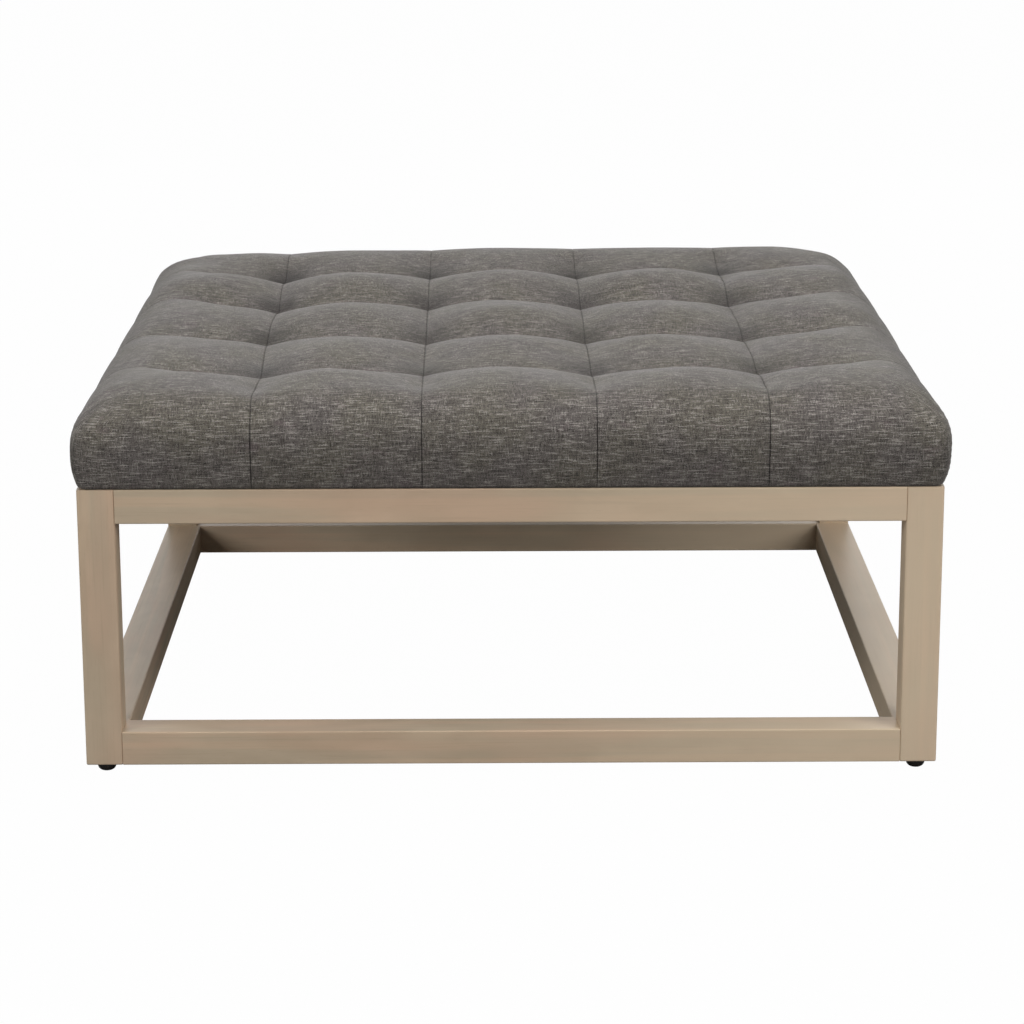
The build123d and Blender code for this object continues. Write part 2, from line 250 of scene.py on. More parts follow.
def make_floor():
    """A wide pale floor that looks white to the camera and keeps a soft shadow."""
    reach = 20.0
    mesh = bpy.data.meshes.new("floor")
    corners = [(-reach, -reach, 0), (reach, -reach, 0), (reach, reach, 0), (-reach, reach, 0)]
    mesh.from_pydata(corners, [], [(0, 1, 2, 3)])
    floor = bpy.data.objects.new("floor", mesh)
    bpy.context.scene.collection.objects.link(floor)
    tone = (FLOOR_TONE, FLOOR_TONE, FLOOR_TONE, 1.0)
    paper = Shader("floor_paper", Roughness=1.0, Specular_IOR_Level=0.0, Base_Color=tone)
    seen = paper.node("ShaderNodeLightPath", output="Is Camera Ray")
    glow = paper.node("ShaderNodeEmission", {}, {"Color": (1.0, 1.0, 1.0, 1.0), "Strength": 1.0})
    bare = Value(paper, paper.surface.outputs[0])
    share = seen * FLOOR_WHITE
    mixed = paper.node("ShaderNodeMixShader", {}, {0: share, 1: bare, 2: glow})
    paper.tree.links.new(mixed.socket, paper.tree.nodes["Material Output"].inputs["Surface"])
    mesh.materials.append(paper.material)


def make_studio():
    """A surround that is white to the camera and dim as light, the floor and the soft lamps."""
    world = bpy.data.worlds.new("studio")
    bpy.context.scene.world = world
    world.use_nodes = True
    nodes, links = world.node_tree.nodes, world.node_tree.links
    path = nodes.new("ShaderNodeLightPath")
    strength = nodes.new("ShaderNodeMapRange")
    strength.inputs["To Min"].default_value = SURROUND_LIGHT
    strength.inputs["To Max"].default_value = 1.0
    links.new(path.outputs["Is Camera Ray"], strength.inputs["Value"])
    links.new(strength.outputs[0], nodes["Background"].inputs["Strength"])
    nodes["Background"].inputs["Color"].default_value = (1.0, 1.0, 1.0, 1.0)
    make_floor()
    for lamp in LAMPS:
        make_lamp(*lamp)
    bpy.context.scene.view_settings.view_transform = "Standard"


# Cushion: five panels each way, the outer ones drawn down over the sides
PANELS = 5
PANEL = 2 * HALF / PANELS
# Half size of the opening in the flange that the cover turns under the cushion
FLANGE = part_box("deck_batten_right")[1].x + 0.001
COVER_THICKNESS = 0.0016

# Side profile of the cushion, from the crown outwards: place beyond the frame's face, height over the seat
CROWN = 0.1114
SIDE_PROFILE = [
    (-0.0912, CROWN),
    (-0.0690, 0.1106),
    (-0.0500, 0.1084),
    (-0.0340, 0.1040),
    (-0.0210, 0.0970),
    (-0.0112, 0.0880),
    (-0.0028, 0.0782),
    (0.0032, 0.0680),
    (0.0058, 0.0580),
    (0.0066, 0.0480),
    (0.0058, 0.0330),
    (0.0042, 0.0190),
    (0.0018, 0.0080),
    (-0.0002, 0.0024),
    (-0.0022, 0.0002),
    (-0.0055, 0.0000),
    (-0.0150, 0.0000),
    (FLANGE - HALF, 0.0000),
]
# How much higher or lower than the crown each row of panels stands, front row first
ROW_LIFT = [-0.0040, -0.0070, -0.0012, 0.0078, 0.0008]
# The same for each column, from the left
COLUMN_LIFT = [-0.0052, -0.0025, 0.0000, -0.0012, 0.0005]
# How far the shoulder is drawn in on the left, and the share of that lost at the back
LEFT_TUCK = 0.0030
LEFT_TUCK_LOSS = 0.7
# The same on the right, at these places from front to back
RIGHT_TUCK_PLACES = [-0.460, -0.400, -0.200, 0.080, 0.200]
RIGHT_TUCKS = [0.0006, 0.0022, 0.0042, 0.0042, 0.0064]
# How much lower the back left corner of the top is
BACK_LEFT_DROP = 0.0038
# How much fuller the right side is just over the frame
RIGHT_FULLNESS = 0.0007
# Plan radius of the corners: at the shoulder, on the sides, and what the sides' loses towards the frame
SHOULDER_RADIUS = 0.060
SIDE_RADIUS = 0.018
FOOT_RADIUS_LOSS = 0.008
# Places on the cloth, as distances from the middle of the top: the roundest ring of the corners,
# where the shoulder's tuck starts and where it begins to end, where the left and right sides start,
# and where the rows' and columns' heights run out
ROUNDEST = 0.425
TUCK_START = (0.400, 0.450)
TUCK_END = 0.470
SIDE_START = (0.380, 0.440)
LIFT_END = (0.400, 0.480)
# Along a side the cloth keeps its own spacing up to the lesser of this place and this share of the ring
EVEN_REACH = 0.360
EVEN_SHARE = 0.85
# How far to the left the whole tufted pattern lies, how much more for each metre towards the back,
# and where that runs out to the sides
PATTERN_SHIFT = 0.0042
PATTERN_LEAN = 0.0064
PATTERN_END = (0.290, 0.440)
# Places along a seam where its valley starts to run out: to the front, to the back and to the sides,
# and over what length it does
VALLEY_END_FRONT = 0.360
VALLEY_END_BACK = 0.285
VALLEY_END_SIDES = 0.325
VALLEY_END_LENGTH = 0.105
# Power of a valley's cross-section on top, and what is added to it on the sides
VALLEY_POWER = 1.85
SIDE_VALLEY_POWER = 1.2
SEAMS = PANEL * (np.arange(1, PANELS) - PANELS / 2)
MIDDLES = PANEL * (np.arange(PANELS) - (PANELS - 1) / 2)
# Depth of the valleys on the seams, and how much less deep they are at their crossings
SEAM_DROP = 0.0160
CROSSING_LIFT = 0.0086
# What is added to that lift at each tuft: from the left in each row, front row first
TUFT_LIFTS = np.array(
    [
        [0.0056, 0.0018, 0.0050, 0.0048],
        [0.0036, 0.0026, 0.0030, 0.0042],
        [-0.0034, -0.0022, 0.0024, 0.0034],
        [-0.0010, 0.0002, 0.0006, 0.0043],
    ]
)
# How far each seam lies to the right of its even place: at the front face, then at each row of tufts
SEAM_SHIFT_PLACES = np.array([-0.500, *SEAMS])
SEAM_SHIFTS = np.array(
    [
        [0.0030, -0.0002, 0.0008, -0.0012],
        [0.0028, -0.0012, 0.0012, 0.0009],
        [-0.0025, -0.0010, 0.0002, 0.0006],
        [0.0004, -0.0012, 0.0007, -0.0026],
        [-0.0030, -0.0013, 0.0008, 0.0001],
    ]
)
# Depth and reach of the dimple at each tuft
TUFT_DROP = 0.0036
TUFT_REACH = 0.017
# Depth of the seams' valleys where they run down the sides
EDGE_SEAM_DROP = 0.0018
# Depth and half width of the stitched groove in each seam
GROOVE_DEPTH = 0.0014
GROOVE_REACH = 0.0006
# Painted shade in the hollows behind each row of tufts: how dark, front row first, and how much more on the
# left
PIT_SHADES = [0.60, 0.58, 0.61, 0.76]
PIT_LEFT_SHARE = 0.15
# How far behind the tuft the painted shade is darkest, and its reach sideways, further back and forwards
PIT_BACK = 0.010
PIT_SIDE_REACH = 0.030
PIT_BACK_REACH = 0.038
PIT_FRONT_REACH = 0.022


def ease(value, low, high):
    """0 below low, 1 above high, and the smooth step 3t^2 - 2t^3 between."""
    t = np.clip((value - low) / (high - low), 0, 1)
    return t * t * (3 - 2 * t)


def side_profile():
    """Arc length, half size and height along the profile: Catmull-Rom through its points."""
    points = np.array(SIDE_PROFILE)
    padded = np.vstack([2 * points[0] - points[1], points, 2 * points[-1] - points[-2]])
    t = np.linspace(0, 1, 24, endpoint=False)[:, None]
    p0, p1, p2, p3 = (padded[i : len(points) - 1 + i][:, None, :] for i in range(4))
    bend = 2 * p0 - 5 * p1 + 4 * p2 - p3
    lean = 3 * p1 - p0 - 3 * p2 + p3
    curve = 0.5 * (2 * p1 + (p2 - p0) * t + bend * t**2 + lean * t**3)
    curve = np.vstack([[-HALF, CROWN], curve.reshape(-1, 2), points[-1]])
    length = np.concatenate([[0], np.cumsum(np.hypot(*np.diff(curve, axis=0).T))])
    return length, HALF + curve[:, 0], curve[:, 1]


LENGTH, PROFILE_HALF, PROFILE_HEIGHT = side_profile()
REACH = LENGTH[-1]
# Where the cover turns under on the frame, and where the stitched grooves run out above that
FOLD = REACH - (HALF - FLANGE) + 0.0025
GROOVE_END = (FOLD - 0.012, FOLD - 0.006)


def corner_radius(out):
    """Plan radius of the ring at distance out: none on top, widest at the shoulder, small on the sides."""
    shoulder = SHOULDER_RADIUS * ease(out, 0.280, ROUNDEST) * (1 - ease(out, ROUNDEST, 0.500))
    side = SIDE_RADIUS * ease(out, ROUNDEST, 0.470)
    return shoulder + side - FOOT_RADIUS_LOSS * ease(out, 0.490, 0.545)


def place_on_ring(out, along):
    """Distance round a ring from its side's middle, and that of the ring's corner.

    It is the place along the cloth as far as that lies evenly, then the rest shared out to the corner."""
    straight = np.interp(out, LENGTH, PROFILE_HALF) - corner_radius(out)
    corner = straight + corner_radius(out) * math.pi / 4
    plain = np.minimum(EVEN_REACH, EVEN_SHARE * out)
    share = np.clip(np.abs(along) - plain, 0, None) / np.maximum(out - plain, 1e-9)
    return np.where(np.abs(along) < plain, np.abs(along), plain + share * (corner - plain)), corner


def cushion_surface(u, v, inset=0.0, groove_depth=0.0, groove_reach=GROOVE_REACH):
    """Place of each point of the unrolled cover, and how near it is to a seam.

    The larger of u and v is the distance along the side profile, the smaller the place along that side.
    Each ring is a rounded square. Then the point sinks along the normal by the inset, the seams' and tufts'
    drop, the grooves and the tucks, rises by its row's and column's lift, and moves to the left with the
    pattern."""
    across = np.abs(u) >= np.abs(v)
    out = np.where(across, np.abs(u), np.abs(v))
    along = np.where(across, v, u)
    step = 0.0006
    run = np.interp(out + step, LENGTH, PROFILE_HALF) - np.interp(out - step, LENGTH, PROFILE_HALF)
    fall = np.interp(out + step, LENGTH, PROFILE_HEIGHT) - np.interp(out - step, LENGTH, PROFILE_HEIGHT)
    size = np.maximum(np.hypot(run, fall), 1e-9)
    normal_out, normal_up = -fall / size, run / size

    radius = corner_radius(out)
    straight = np.interp(out, LENGTH, PROFILE_HALF) - radius
    arc, corner = place_on_ring(out, along)
    turn = np.clip((arc - straight) / np.maximum(radius, 1e-6), 0, math.pi / 4)
    sideways = np.sign(along) * np.where(arc < straight, arc, straight + radius * np.sin(turn))
    outwards = straight + radius * np.cos(turn)
    normal_sideways = np.sign(along) * np.sin(turn) * normal_out
    normal_outwards = np.cos(turn) * normal_out
    x = np.where(across, np.sign(u) * outwards, sideways)
    y = np.where(across, sideways, np.sign(v) * outwards)
    normal_x = np.where(across, np.sign(u) * normal_outwards, normal_sideways)
    normal_y = np.where(across, normal_sideways, np.sign(v) * normal_outwards)

    drop, near = seam_drop(u, v, corner - arc, out, groove_reach)
    drop = drop + groove_depth * near * (1 - ease(out, *GROOVE_END)) + inset
    shoulder = ease(out, *TUCK_START) * (1 - ease(out, TUCK_END, FOLD))
    left_tuck = LEFT_TUCK * (1 - LEFT_TUCK_LOSS * ease(v, 0.300, 0.400))
    drop = drop + left_tuck * ease(-u, *SIDE_START) * shoulder
    right_tuck = np.interp(v, RIGHT_TUCK_PLACES, RIGHT_TUCKS)
    drop = drop + right_tuck * ease(u, *SIDE_START) * shoulder
    drop = drop - RIGHT_FULLNESS * ease(u, 0.505, 0.530) * (1 - ease(out, FOLD - 0.012, FOLD - 0.002))
    lift = steps(v, ROW_LIFT) + steps(u, COLUMN_LIFT)
    lift = lift - BACK_LEFT_DROP * ease(-u, 0.300, 0.380) * ease(v, 0.280, 0.380)
    lift = lift * (1 - ease(out, *LIFT_END))
    height = SEAT + np.interp(out, LENGTH, PROFILE_HEIGHT) + lift
    pattern = PATTERN_SHIFT + PATTERN_LEAN * np.clip(v, -HALF, HALF)
    to_left = pattern * (1 - ease(np.abs(u), *PATTERN_END)) - seam_shift(u, v)
    points = [x - to_left - normal_x * drop, y - normal_y * drop, height - normal_up * drop]
    return np.stack(points, axis=-1), near


def seam_shift(u, v):
    """How far the cloth lies to the right of its even place: the table's numbers, blended in straight lines
    from seam to seam and from row to row, and nothing at the left and right shoulders."""
    to_right = np.zeros(np.shape(u))
    places = np.array([-0.440, *SEAMS, 0.440])
    for only_this_row, shifts in zip(np.eye(len(SEAM_SHIFT_PLACES)), SEAM_SHIFTS):
        share = np.interp(v, SEAM_SHIFT_PLACES, only_this_row)
        to_right = to_right + share * np.interp(u, places, [0.0, *shifts, 0.0])
    return to_right


def steps(place, lifts):
    """Smooth steps from the middle of each row of panels to the next."""
    rise = np.full(np.shape(place), lifts[0])
    for middle, low, high in zip(MIDDLES, lifts, lifts[1:]):
        rise = rise + (high - low) * ease(place, middle, middle + PANEL)
    return rise


def seam_drop(u, v, from_corner, out, groove_reach):
    """Depth below the crown, and how near a seam is, from 0 to 1.

    Each seam's valley is its depth times (1 - distance / half a panel) to a power. The product of the two
    valleys is lifted back at their crossings, and a small dimple is added there. A seam is near by
    exp(-(distance / reach)^2), as are the corner seams on the sides and the fold under the cushion."""
    from_u, from_v = np.abs(u[..., None] - SEAMS), np.abs(v[..., None] - SEAMS)
    near_u, near_v = np.min(from_u, axis=-1), np.min(from_v, axis=-1)
    lift = TUFT_LIFTS[np.argmin(from_v, axis=-1), np.argmin(from_u, axis=-1)]
    total = TUFT_DROP * np.exp(-((np.hypot(near_u, near_v) / TUFT_REACH) ** 1.3))
    crossing = 1.0
    column_end = np.where(v > 0, VALLEY_END_BACK, VALLEY_END_FRONT)
    for near, other, start in ((near_u, v, column_end), (near_v, u, VALLEY_END_SIDES)):
        fade = ease(np.abs(other), start, start + VALLEY_END_LENGTH)
        amount = SEAM_DROP * (1 - fade) + EDGE_SEAM_DROP * fade
        amount = amount * (1 - ease(np.abs(other), FOLD - 0.040, FOLD - 0.004))
        power = VALLEY_POWER + SIDE_VALLEY_POWER * ease(np.abs(other), 0.400, 0.500)
        valley = np.clip(1 - near / (PANEL / 2), 0, 1) ** power
        total = total + amount * valley
        crossing = crossing * valley * (1 - fade)
    # Nearness to a seam deepens the groove, and on the cloth it darkens the colour as painted shade
    seam = np.maximum(np.exp(-((near_u / groove_reach) ** 2)), np.exp(-((near_v / groove_reach) ** 2)))
    corner = 0.5 * np.exp(-((from_corner / (1.2 * groove_reach)) ** 2)) * ease(out, 0.474, 0.500)
    seam = seam * (0.5 + 0.5 * ease(out, 0.415, 0.470))
    # Near the fold under the cushion: painted shade of the crease at the frame
    under = 0.9 * np.exp(-(((out - FOLD + 0.0010) / 0.0022) ** 2))
    return total - (CROSSING_LIFT + lift) * crossing, np.maximum(np.maximum(seam, corner), under)


def pit_shade(u, v):
    """Painted shade in the hollow behind a tuft: its row's number, a little more on the left, times
    exp(-(sideways / reach)^2 - (distance from its darkest line / reach)^2)."""
    from_u = np.min(np.abs(u[..., None] - SEAMS), axis=-1)
    row = np.argmin(np.abs(v[..., None] - SEAMS - PIT_BACK), axis=-1)
    back = v - SEAMS[row] - PIT_BACK
    reach = np.where(back > 0, PIT_BACK_REACH, PIT_FRONT_REACH)
    depth = np.array(PIT_SHADES)[row] * (1 + PIT_LEFT_SHARE * ease(-u, 0.150, 0.250))
    return depth * np.exp(-((from_u / PIT_SIDE_REACH) ** 2) - (back / reach) ** 2)


# Threads per metre of the cover's cloth, the same both ways
THREADS = 1300.0
# Distances from each seam at which the cover's grid has lines, and its spacing on the sides
SEAM_OFFSETS = [0.0003, 0.0007, 0.0011, 0.0016, 0.0028, 0.0048, 0.0080, 0.0125, 0.0185, 0.0260]
SEAM_OFFSETS += [0.0345, 0.0435, 0.0530, 0.0625, 0.0720, 0.0815]
COVER_SPACING = 0.0068
# The same for the wadding, which lies this far inside the cover
WADDING_OFFSETS = [0.006, 0.015, 0.030, 0.050, 0.070]
WADDING_SPACING = 0.016
WADDING_GAP = 0.0012
# The same for the copy of the cover that is simulated as cloth
CLOTH_OFFSETS = [0.006, 0.015, 0.026, 0.038, 0.050, 0.062, 0.074]
CLOTH_SPACING = 0.0115
# Extra lines beside the fold, and the least gap between two lines
FOLD_OFFSETS = [-0.0036, -0.0018, 0.0000, 0.0018]
LEAST_GAP = 0.00025
# Cloth simulation: pressure, frames, and the most that a point may move
CLOTH_PRESSURE = 4.0
CLOTH_FRAMES = 20
CLOTH_CAP = 0.006
# Reach of a point's move when it is carried to the finer grids
SPREAD_REACH = 0.011
# How far from a tuft the cloth is pinned, how far from a seam it is held, and how firmly
PINNED_REACH = 0.007
SEWN_REACH = 0.002
SEWN_HOLD = 0.5
# Unevenness of the filling: how many lumps each way, and their height and reach
LUMPS = 20
LUMP_HEIGHT = 0.0016
LUMP_REACH = 0.035


def grid_lines(seam_offsets, spacing, reach):
    """Places of the grid's lines: the seams, the inner panels' middles and lines at set distances beside
    the seams, then even spacing outwards, with a few more at the fold."""
    beside = (SEAMS[:, None, None] + np.array([[-1], [1]]) * np.array(seam_offsets)).ravel()
    start = SEAMS[-1] + seam_offsets[-1]
    outer = np.linspace(start, reach, int((reach - start) / spacing) + 1)[1:]
    fold = FOLD + np.array(FOLD_OFFSETS)
    outer = np.concatenate([outer, fold[fold < reach - 0.0005]])
    lines = np.sort(np.concatenate([SEAMS, MIDDLES[1:-1], beside, outer, -outer]))
    return lines[np.concatenate([[True], np.diff(lines) > LEAST_GAP])]


def shell_faces(count):
    """Corner numbers of a closed shell of two square grids: outer up, inner down, and a rim between.

    The squares on the two diagonals are cut along the diagonal, where the corner seams run."""
    index = np.arange(count * count).reshape(count, count)
    a, b, c, d = index[:-1, :-1], index[1:, :-1], index[1:, 1:], index[:-1, 1:]
    row, column = np.indices(a.shape)
    rising = row == column
    falling = (row + column == count - 2) & ~rising
    quads = np.stack([a, b, c, d], axis=-1)[~(rising | falling)]
    cuts = [(a, b, c, rising), (a, c, d, rising), (a, b, d, falling), (b, c, d, falling)]
    triangles = np.concatenate([np.stack([p, q, r], axis=-1)[where] for p, q, r, where in cuts])
    loop = np.concatenate([index[:-1, 0], index[-1, :-1], index[:0:-1, -1], index[0, :0:-1]])
    turned = np.roll(loop, -1)
    below = count * count
    rim = np.stack([turned, loop, loop + below, turned + below], axis=-1)
    faces = np.concatenate([quads, quads[:, ::-1] + below, rim]).tolist()
    return faces + np.concatenate([triangles, triangles[:, ::-1] + below]).tolist()


def spread(places, lines, reach):
    """Share of each line in each place: exp(-(distance / reach)^2), made to add up to 1."""
    share = np.exp(-(((places[:, None] - lines) / reach) ** 2))
    return share / share.sum(axis=1, keepdims=True)


def start_inset(out):
    """How far inside its form the cloth starts: under it on top, over it on the sides, which draw in."""
    return 0.0010 - 0.0027 * ease(out, 0.395, 0.450) * (1 - ease(out, 0.520, FOLD))


def blow_up():
    """Lines of a coarser copy of the cover, and how far each of their crossings moved as cloth.

    Pressure swells it without gravity. It is pinned at the tufts and at the frame and held lightly along
    the seams, its filling is a little uneven, and no point moves more than the cap."""
    lines = grid_lines(CLOTH_OFFSETS, CLOTH_SPACING, REACH)
    u, v = np.meshgrid(lines, lines, indexing="ij")
    out = np.maximum(np.abs(u), np.abs(v))
    target, _ = cushion_surface(u, v)
    start, _ = cushion_surface(u, v, start_inset(out))
    share = spread(lines, np.linspace(-REACH, REACH, LUMPS), LUMP_REACH)
    lumps = share @ np.random.default_rng(3).normal(0, LUMP_HEIGHT, (LUMPS, LUMPS)) @ share.T
    start[..., 2] = start[..., 2] + lumps * (1 - ease(out, 0.400, 0.470))

    count = len(lines)
    index = np.arange(count * count).reshape(count, count)
    quads = np.stack([index[:-1, :-1], index[1:, :-1], index[1:, 1:], index[:-1, 1:]], axis=-1)
    mesh = bpy.data.meshes.new("blown")
    mesh.from_pydata(start.reshape(-1, 3).tolist(), [], quads.reshape(-1, 4).tolist())
    blown = bpy.data.objects.new("blown", mesh)
    scene = bpy.context.scene
    scene.collection.objects.link(blown)

    near_u = np.min(np.abs(u[..., None] - SEAMS), axis=-1)
    near_v = np.min(np.abs(v[..., None] - SEAMS), axis=-1)
    pinned = (np.hypot(near_u, near_v) < PINNED_REACH) | (out > FOLD - 0.012)
    sewn = (np.minimum(near_u, near_v) < SEWN_REACH) & ~pinned
    group = blown.vertex_groups.new(name="held")
    group.add(np.flatnonzero(pinned).tolist(), 1.0, "REPLACE")
    group.add(np.flatnonzero(sewn).tolist(), SEWN_HOLD, "REPLACE")
    cloth = blown.modifiers.new("cloth", "CLOTH")
    cloth.settings.vertex_group_mass = "held"
    cloth.settings.use_pressure = True
    cloth.settings.uniform_pressure_force = CLOTH_PRESSURE
    cloth.settings.effector_weights.gravity = 0.0
    cloth.collision_settings.use_collision = False
    cloth.point_cache.frame_end = CLOTH_FRAMES
    for moment in range(1, CLOTH_FRAMES + 1):
        scene.frame_set(moment)
    made = blown.evaluated_get(bpy.context.evaluated_depsgraph_get()).data
    places = np.empty(len(made.vertices) * 3, dtype=np.float32)
    made.vertices.foreach_get("co", places)
    moved = places.reshape(target.shape) - target
    far = np.maximum(np.linalg.norm(moved, axis=-1, keepdims=True), 1e-9)
    still = 1 - ease(out, FOLD - 0.020, FOLD - 0.006)
    moved = moved * np.minimum(1, CLOTH_CAP / far) * still[..., None]
    bpy.data.objects.remove(blown)
    bpy.data.meshes.remove(mesh)
    scene.frame_set(1)
    return lines, moved


def settled(points, lines, moves):
    """The points of a grid on these lines after the cloth's moves, blended between the coarser lines."""
    moved_lines, moved = moves
    share = spread(lines, moved_lines, SPREAD_REACH)
    part = np.tensordot(share, moved, axes=(1, 0))
    return points + np.tensordot(share, part, axes=(1, 1)).transpose(1, 0, 2)


def make_mesh(name, points, faces, material):
    """A new smooth object at the origin with these points and faces, riding on the table."""
    mesh = bpy.data.meshes.new(name)
    mesh.from_pydata(points.reshape(-1, 3).tolist(), [], faces)
    mesh.polygons.foreach_set("use_smooth", np.full(len(mesh.polygons), True))
    mesh.materials.append(material)
    made = bpy.data.objects.new(name, mesh)
    bpy.context.scene.collection.objects.link(made)
    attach(made, "root")
    return made


def add_weave_map(mesh, u, v):
    """UV map in metres of cloth: low on a side, the thread along it follows the real width of the ring."""
    corner = np.empty(len(mesh.loops), dtype=np.int32)
    mesh.loops.foreach_get("vertex_index", corner)
    total = np.empty(len(mesh.polygons), dtype=np.int32)
    mesh.polygons.foreach_get("loop_total", total)
    face = np.repeat(np.arange(len(total)), total)
    u, v = u[corner], v[corner]
    across = (np.abs(np.bincount(face, u)) >= np.abs(np.bincount(face, v)))[face]
    out = np.where(across, np.abs(u), np.abs(v))
    along = np.where(across, v, u)
    arc, _ = place_on_ring(out, along)
    mixed = ease(out, 0.445, 0.475)
    real = np.sign(along) * (np.abs(along) * (1 - mixed) + arc * mixed)
    weave = np.stack([np.where(across, u, real), np.where(across, real, v)], axis=-1)
    layer = mesh.uv_layers.new(name="weave")
    layer.data.foreach_set("uv", weave.astype(np.float32).ravel())


def make_cushion_cover(material, moves):
    """The sewn cover: outer face, an inner face one cloth thickness under it, and the flange's edge."""
    lines = grid_lines(SEAM_OFFSETS, COVER_SPACING, REACH)
    u, v = np.meshgrid(lines, lines, indexing="ij")
    outer, near = cushion_surface(u, v, 0.0, GROOVE_DEPTH, GROOVE_REACH)
    inner, _ = cushion_surface(u, v, COVER_THICKNESS, GROOVE_DEPTH, 3 * GROOVE_REACH)
    outer, inner = settled(outer, lines, moves), settled(inner, lines, moves)
    cover = make_mesh("cushion_cover", np.stack([outer, inner]), shell_faces(len(lines)), material)
    # Kept for the cloth's colour: the painted shade of the seams and fold, and of the hollows behind the
    # tufts
    for name, values in (("seam", near), ("painted_shade", pit_shade(u, v))):
        attribute = cover.data.attributes.new(name, "FLOAT", "POINT")
        attribute.data.foreach_set("value", np.tile(values.ravel(), 2).astype(np.float32))
    add_weave_map(cover.data, np.tile(u.ravel(), 2), np.tile(v.ravel(), 2))
    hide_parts("tufted_cover")


def make_wadding_fill(material, moves):
    """Soft wadding: the cover's form a little inside it, over a box-shaped hollow for the foam and deck."""
    lines = grid_lines(WADDING_OFFSETS, WADDING_SPACING, FOLD - 0.004)
    u, v = np.meshgrid(lines, lines, indexing="ij")
    outer, _ = cushion_surface(u, v, COVER_THICKNESS + WADDING_GAP, GROOVE_DEPTH, 6 * GROOVE_REACH)
    outer = settled(outer, lines, moves)
    outer[..., 2] = np.maximum(outer[..., 2], DECK_BOTTOM + CLEARANCE)
    roof_reach = 0.440
    out = np.maximum(np.abs(u), np.abs(v))
    scale = DECK_HALF / np.maximum(out, roof_reach)
    down = np.clip((out - roof_reach) / (lines[-1] - roof_reach), 0, 1)
    hollow_height = FOAM_TOP + (outer[0, 0, 2] - FOAM_TOP) * down
    hollow = np.stack([u * scale, v * scale, hollow_height], axis=-1)
    wadding = make_mesh("wadding_fill", np.stack([outer, hollow]), shell_faces(len(lines)), material)
    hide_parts("wadding")


def linen():
    """Plain weave of slub threads: each row and each column of yarn has its own run of light and dark,
    and the two show in turn like a chequerboard. Painted shade darkens the seams and the tuft hollows."""
    cloth = Shader("linen", Roughness=0.90, Sheen_Weight=0.30, Sheen_Roughness=0.40, Specular_IOR_Level=0.2)
    weave = cloth.uv("weave")
    seam = cloth.attribute("seam")
    # Threads wander by up to this many metres
    wander = 0.0008
    sway = cloth.noise(weave, (50.0, 50.0, 1.0), 1.0) - 0.5
    x, y, _ = cloth.split(weave)
    x = x + sway * wander
    y = y + sway * wander
    column = (x * THREADS).floor()
    row = (y * THREADS).floor()
    # Neighbouring threads are this far apart in the noise, so each has its own run of light and dark
    apart = 1.73
    weft = cloth.noise(cloth.joined(x, row * apart), (58.0, 1.0, 1.0), 2.0, 0.65)
    warp = cloth.noise(cloth.joined(column * apart, y, 4.0), (1.0, 120.0, 1.0), 2.0, 0.6)
    across_shows = ((row + column) * 0.5).fraction().over(0.2, 0.3)
    fuzz = cloth.noise(weave, (900.0, 900.0, 1.0), 2.0, 0.7)
    cluster = cloth.noise(weave, (60.0, 90.0, 1.0), 2.0, 0.6)
    tone = cloth.noise(weave, (14.0, 14.0, 1.0), 2.0)
    mauve = cloth.noise(weave, (31.0, 47.0, 1.0), 2.0)
    light_yarn = screen(180, 174, 167)
    dark_yarn = screen(42, 39, 37)
    seam_shadow = screen(26, 24, 22)
    ground = cloth.mix(tone.over(0.3, 0.7), screen(99, 93, 90), screen(99, 94, 84))
    ground = cloth.mix(mauve.over(0.60, 0.74) * 0.4, ground, screen(106, 90, 94))
    across = cloth.mix((weft * 0.95 + cluster * 0.09).over(0.55, 0.68), ground, light_yarn)
    across = cloth.mix((1.0 - weft.over(0.37, 0.51)) * 0.95, across, dark_yarn)
    along = cloth.mix((warp * 0.95 + cluster * 0.09).over(0.59, 0.73) * 0.7, ground, light_yarn)
    along = cloth.mix((1.0 - warp.over(0.39, 0.54)) * 0.9, along, dark_yarn)
    colour = cloth.mix(across_shows, along, across)
    colour = cloth.mix(fuzz.over(0.45, 0.75) * 0.35, colour, light_yarn)
    colour = cloth.mix((1.0 - cluster.over(0.30, 0.50)) * 0.18, colour, dark_yarn)
    # Painted shade in the hollows behind the tufts
    colour = cloth.mix(cloth.attribute("painted_shade"), colour, dark_yarn)
    # Painted shade in the seams, the corner seams and the fold under the cushion
    colour = cloth.mix(seam**1.25 * 0.85, colour, seam_shadow)
    cloth.set("Base Color", colour)
    cloth.bump(weft + warp + across_shows * 0.3 + fuzz * 0.4, 0.0004, 0.6)
    return cloth.material


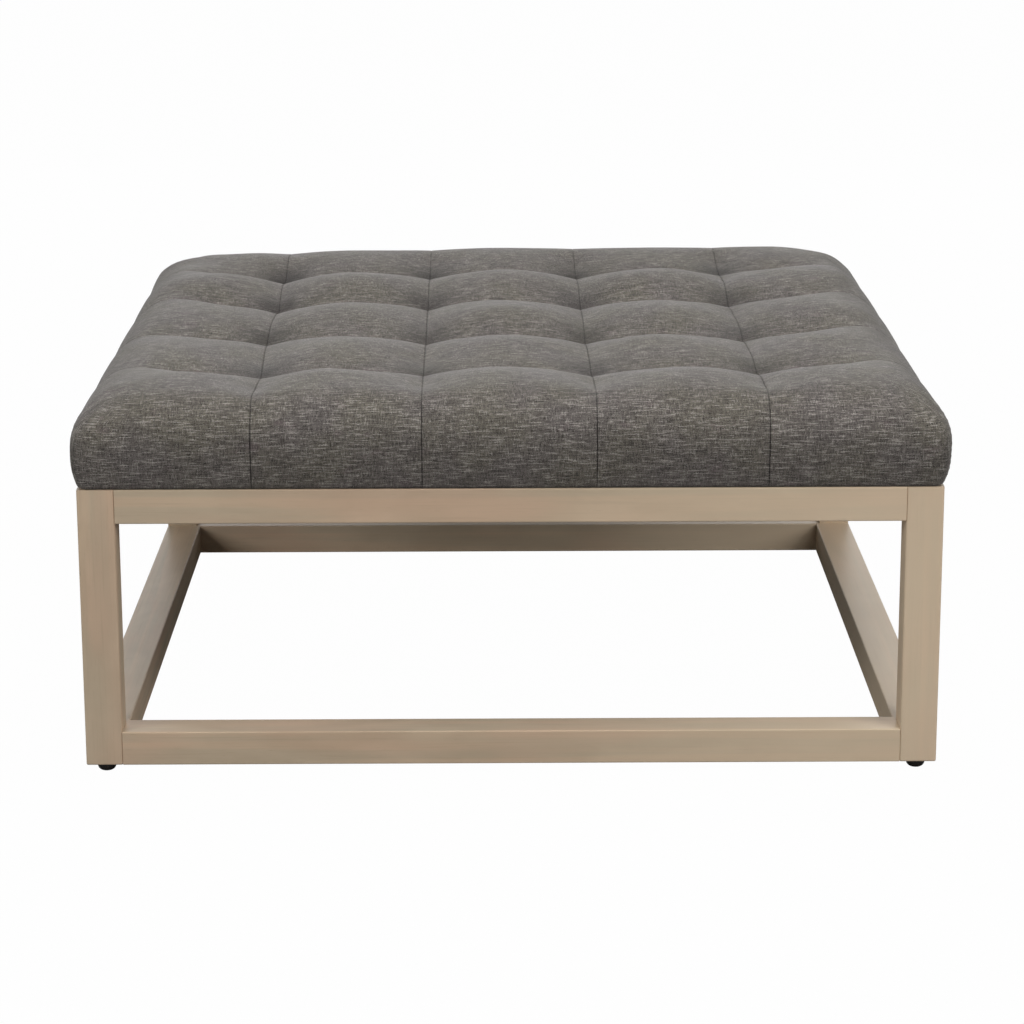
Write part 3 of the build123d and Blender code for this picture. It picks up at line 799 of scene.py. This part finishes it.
def driftwood(name, along):
    """Stained timber with a satin coat: stain blotches, soft bands and fine pores, all drawn out along
    the grain, and paler towards the right as painted light."""
    wood = Shader(name, Specular_IOR_Level=0.35, Coat_Weight=0.20, Coat_Roughness=0.30)
    place = wood.coordinates()

    def drawn(across_scale, along_scale):
        """Features per metre across the grain and along it, in the order x, y, z."""
        return tuple(along_scale if axis == along else across_scale for axis in range(3))

    blotch = wood.noise(place, drawn(22.0, 7.0), 3.0, 0.55, 0.4)
    band = wood.noise(place, drawn(62.0, 1.6), 1.0, 0.5, 0.3)
    streak = wood.noise(place, drawn(420.0, 9.0), 3.0, 0.6, 0.6)
    pores = wood.noise(place, drawn(1500.0, 60.0), 2.0, 0.6)
    warm = wood.noise(place, drawn(14.0, 4.5), 2.0, 0.5, 0.3)
    x, _, _ = wood.split(place)
    colour = wood.mix(blotch.over(0.3, 0.7), screen(186, 167, 142), screen(203, 184, 158))
    colour = wood.mix(band.over(0.38, 0.62) * 0.35, colour, screen(184, 166, 142))
    colour = wood.mix((1.0 - band.over(0.38, 0.55)) * 0.30, colour, screen(215, 182, 152))
    colour = wood.mix(warm.over(0.46, 0.68) * 0.35, colour, screen(215, 178, 151))
    colour = wood.mix(streak.over(0.50, 0.80) * 0.25, colour, screen(162, 143, 119))
    colour = wood.mix(pores.over(0.62, 0.80) * 0.30, colour, screen(147, 128, 106))
    # Painted light: the wood is paler towards the right
    colour = wood.mix(x.over(-0.10, 0.40) * 0.55, colour, screen(228, 207, 178))
    wood.set("Base Color", colour)
    wood.set("Roughness", 0.50 + 0.16 * streak)
    wood.bump(streak + pores * 0.6, 0.0003, 0.35)
    return wood.material


def plain_finish(name, light, dark, scale, roughness, depth, **constants):
    """A finish of two close tones mixed by noise, with a fine bump of the same noise."""
    made = Shader(name, **constants)
    grain = made.noise(made.coordinates(), scale, 3.0, 0.6)
    made.set("Base Color", made.mix(grain.over(0.3, 0.7), dark, light))
    made.set("Roughness", roughness + 0.12 * grain)
    made.bump(grain, depth, 0.5)
    return made.material


def finish_nodes():
    """Gives each CAD node its material; timber grain runs along the longest side of its piece."""
    timber = [driftwood("driftwood_" + "xyz"[axis], axis) for axis in range(3)]
    ply = plain_finish(
        "ply", screen(205, 184, 148), screen(186, 162, 124), (30.0, 260.0, 500.0), 0.6, 0.0002
    )
    hidden = plain_finish(
        "planed_wood", screen(208, 184, 148), screen(184, 156, 118), (160.0, 160.0, 160.0), 0.6, 0.0002
    )
    foam = plain_finish("foam", screen(226, 220, 196), screen(205, 197, 168), (900.0,) * 3, 0.9, 0.0006)
    dust = plain_finish("dust_cloth", screen(44, 43, 42), screen(26, 25, 25), (700.0,) * 3, 0.85, 0.0003)
    twine = plain_finish("twine", screen(214, 202, 176), screen(180, 166, 138), (900.0,) * 3, 0.8, 0.0002)
    plastic = plain_finish("glide", screen(44, 38, 34), screen(32, 28, 25), (600.0,) * 3, 0.42, 0.0001)
    steel = plain_finish(
        "zinc", screen(206, 206, 202), screen(176, 177, 176), (400.0,) * 3, 0.28, 0.0001, Metallic=1.0
    )
    by_slot = {
        "hidden_wood": hidden,
        "deck_ply": ply,
        "foam": foam,
        "dust_cloth": dust,
        "tie_cord": twine,
        "glide_plastic": plastic,
        "fastener_steel": steel,
    }
    slots = {part["node"]: part["material_slot"] for part in frame["record"]["subparts"]}
    for name, piece in frame["nodes"].items():
        low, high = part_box(name)
        longest = int(np.argmax(high - low))
        material = timber[longest] if slots[name] == "frame_wood" else by_slot.get(slots[name])
        if material:
            for place in piece.material_slots:
                place.material = material


make_camera()
make_studio()
finish_nodes()
cloth_moves = blow_up()
make_cushion_cover(linen(), cloth_moves)
make_wadding_fill(
    plain_finish("wadding_fibre", screen(238, 238, 234), screen(220, 220, 216), (500.0,) * 3, 0.95, 0.001),
    cloth_moves,
)
